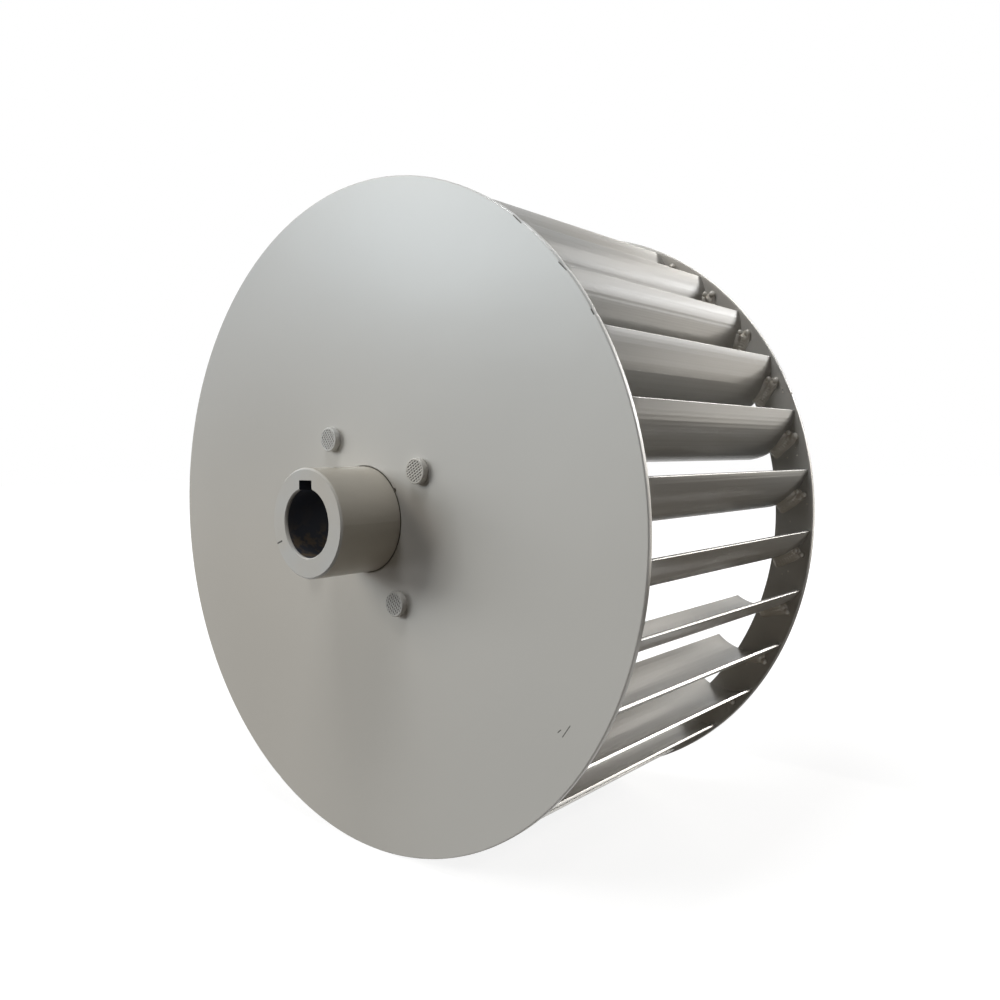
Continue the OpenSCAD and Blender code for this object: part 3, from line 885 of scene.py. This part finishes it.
class IMPELLER_OT_stage(bpy.types.Operator):
    """Set the pale floor, the surroundings, the lamps and the camera"""
    bl_idname = "impeller.stage"
    bl_label = "Stage"

    def execute(self, context):
        studio = context.scene.impeller_studio
        self.floor(studio)
        self.surroundings(context.scene, studio)
        for name, *settings in LAMPS:
            self.lamp(name + "_lamp", getattr(studio, name + "_power"), *settings)
        self.dark_card(studio)
        self.camera(context.scene)
        context.scene.view_settings.view_transform = "Standard"
        return {"FINISHED"}

    def level_sheet(self, name, g, low_x, high_x, low_y, high_y, z):
        """A level rectangle of the stage with a finish."""
        mesh = bpy.data.meshes.new(name)
        mesh.from_pydata([(low_x, low_y, z), (high_x, low_y, z), (high_x, high_y, z), (low_x, high_y, z)],
                         [], [(0, 1, 2, 3)])
        mesh.materials.append(g.material)
        sheet = bpy.data.objects.new(name, mesh)
        bpy.context.scene.collection.objects.link(sheet)
        return sheet

    def floor(self, studio):
        """A level square under the wheel. Cameras and mirrors see it near white, with the shadow on it."""
        g = Finish("floor_finish")
        diffuse = g.add("ShaderNodeBsdfDiffuse", {"Color": (*studio.floor_tone, 1)}).outputs[0]
        pale = g.add("ShaderNodeBsdfDiffuse", {"Color": (*studio.pale_tone, 1)}).outputs[0]
        away = g.vectors("LENGTH", g.place, out="Value")
        glow = g.add("ShaderNodeEmission", {"Color": WHITE, "Strength": g.span(away, 0.2, 1.2, 0.86, 1.0)})
        seen = g.add("ShaderNodeAddShader", {0: pale, 1: glow.outputs[0]}).outputs[0]
        both = g.add("ShaderNodeMixShader", {0: g.looked_at(), 1: diffuse, 2: seen}).outputs[0]
        g.fill(g.tree.nodes["Material Output"].inputs["Surface"], both)
        g.tree.nodes.remove(g.shader)
        half = studio.floor_half
        self.level_sheet("floor", g, -half, half, -half, half, CAD_BOX[0][2])

    def dark_card(self, studio):
        """A dark card flat on the floor behind the wheel, hidden from the camera and casting no shadow, so
        that only
        reflections see it: the blades mirror it as a painted dark reflection, as a photographer's card gives
        a bright sheet a dark side."""
        g = Finish("dark_card_finish")
        g.dress(Base_Color=(*studio.card_tone, 1), Roughness=1.0)
        card = self.level_sheet("dark_card", g, *DARK_CARD, CAD_BOX[0][2] + 1 * MM)
        card.visible_camera = card.visible_shadow = False

    def surroundings(self, scene, studio):
        """White where it is looked at. Its light goes from sky to walls to ground with the ray's height."""
        world = scene.world or bpy.data.worlds.new("studio")
        scene.world = world
        world.use_nodes = True
        world.node_tree.nodes.clear()
        g = Graph(world.node_tree)
        x, _, z = g.parts(g.add("ShaderNodeTexCoord").outputs["Generated"])
        upper = g.mix(g.span(z, 0.0, 0.75), studio.wall_tone, studio.sky_tone)
        lower = g.mix(g.span(z, -0.35, 0.0), studio.ground_tone, upper)
        # the right-hand side stays darker than the left, as in a room with windows on one side
        side = g.span(x, -0.6, 0.7, 1.3, 0.7)
        light = g.add("ShaderNodeBackground", {"Color": g.scaled(lower, side)}).outputs[0]
        white = g.add("ShaderNodeBackground", {"Color": WHITE}).outputs[0]
        both = g.add("ShaderNodeMixShader", {0: g.looked_at(), 1: light, 2: white}).outputs[0]
        g.add("ShaderNodeOutputWorld", {"Surface": both})

    def lamp(self, name, power, turned, raised, away, size, colour, mirrored=True):
        """A flat rectangular lamp that faces the cage."""
        turned, raised = radians(turned), radians(raised)
        back = np.array((sin(turned) * cos(raised), -cos(turned) * cos(raised), sin(raised)))
        right = np.cross((0, 0, 1), back)
        right /= np.linalg.norm(right)
        data = bpy.data.lights.new(name, "AREA")
        data.shape = "RECTANGLE"
        data.size, data.size_y = size
        data.energy = power
        data.color = colour
        lamp = bpy.data.objects.new(name, data)
        lamp.visible_glossy = mirrored
        self.aim(lamp, right, np.cross(back, right), back, CAGE_MIDDLE + away * back)

    def aim(self, thing, right, up, back, place):
        """Places a lamp or camera by its own three axes."""
        rows = [(*axes, at) for *axes, at in zip(right, up, back, place)]
        thing.matrix_world = Matrix(rows + [(0, 0, 0, 1)])
        bpy.context.scene.collection.objects.link(thing)

    def camera(self, scene):
        """The photograph's viewpoint, fitted to the outlines of plate, ring and hub."""
        data = bpy.data.cameras.new("camera")
        data.sensor_width = 36.0
        data.lens = 31.708
        data.shift_x, data.shift_y = -0.050809, -0.012433
        data.clip_start, data.clip_end = 0.01, 50
        data.dof.use_dof = False
        right, up = (0.78285426, 0.6221325, -0.00950555), (-0.01529736, 0.03451737, 0.99928702)
        place = (0.296329, -0.244671, 0.026427)
        camera = bpy.data.objects.new("camera", data)
        self.aim(camera, right, up, np.cross(right, up), place)
        scene.camera = camera


STEPS = (IMPELLER_OT_backplate, IMPELLER_OT_ring, IMPELLER_OT_blades, IMPELLER_OT_welds, IMPELLER_OT_rivets,
         IMPELLER_OT_hub, IMPELLER_OT_stage)
GROUPS = {"impeller_sheets": ImpellerSheets, "impeller_joints": ImpellerJoints,
          "impeller_finish": ImpellerFinish, "impeller_studio": ImpellerStudio}


class IMPELLER_PT_panel(bpy.types.Panel):
    """Lists the impeller's steps and settings"""
    bl_label = "Fan impeller"
    bl_idname = "IMPELLER_PT_panel"
    bl_space_type = "VIEW_3D"
    bl_region_type = "UI"
    bl_category = "Impeller"

    def draw(self, context):
        for step in STEPS:
            self.layout.operator(step.bl_idname)
        for key, group in GROUPS.items():
            box = self.layout.box()
            box.label(text=key.replace("_", " "))
            for name in group.__annotations__:
                box.prop(getattr(context.scene, key), name)


def register():
    """Adds the classes, and the settings to every scene."""
    for kind in (*GROUPS.values(), *STEPS, IMPELLER_PT_panel):
        bpy.utils.register_class(kind)
    for key, group in GROUPS.items():
        setattr(bpy.types.Scene, key, PointerProperty(type=group))


def unregister():
    """Takes them away again."""
    for key in GROUPS:
        delattr(bpy.types.Scene, key)
    for kind in (IMPELLER_PT_panel, *reversed(STEPS), *reversed(tuple(GROUPS.values()))):
        bpy.utils.unregister_class(kind)


def main():
    """Runs every step."""
    register()
    for step in STEPS:
        group, name = step.bl_idname.split(".")
        getattr(getattr(bpy.ops, group), name)()


if __name__ == "__main__":
    main()
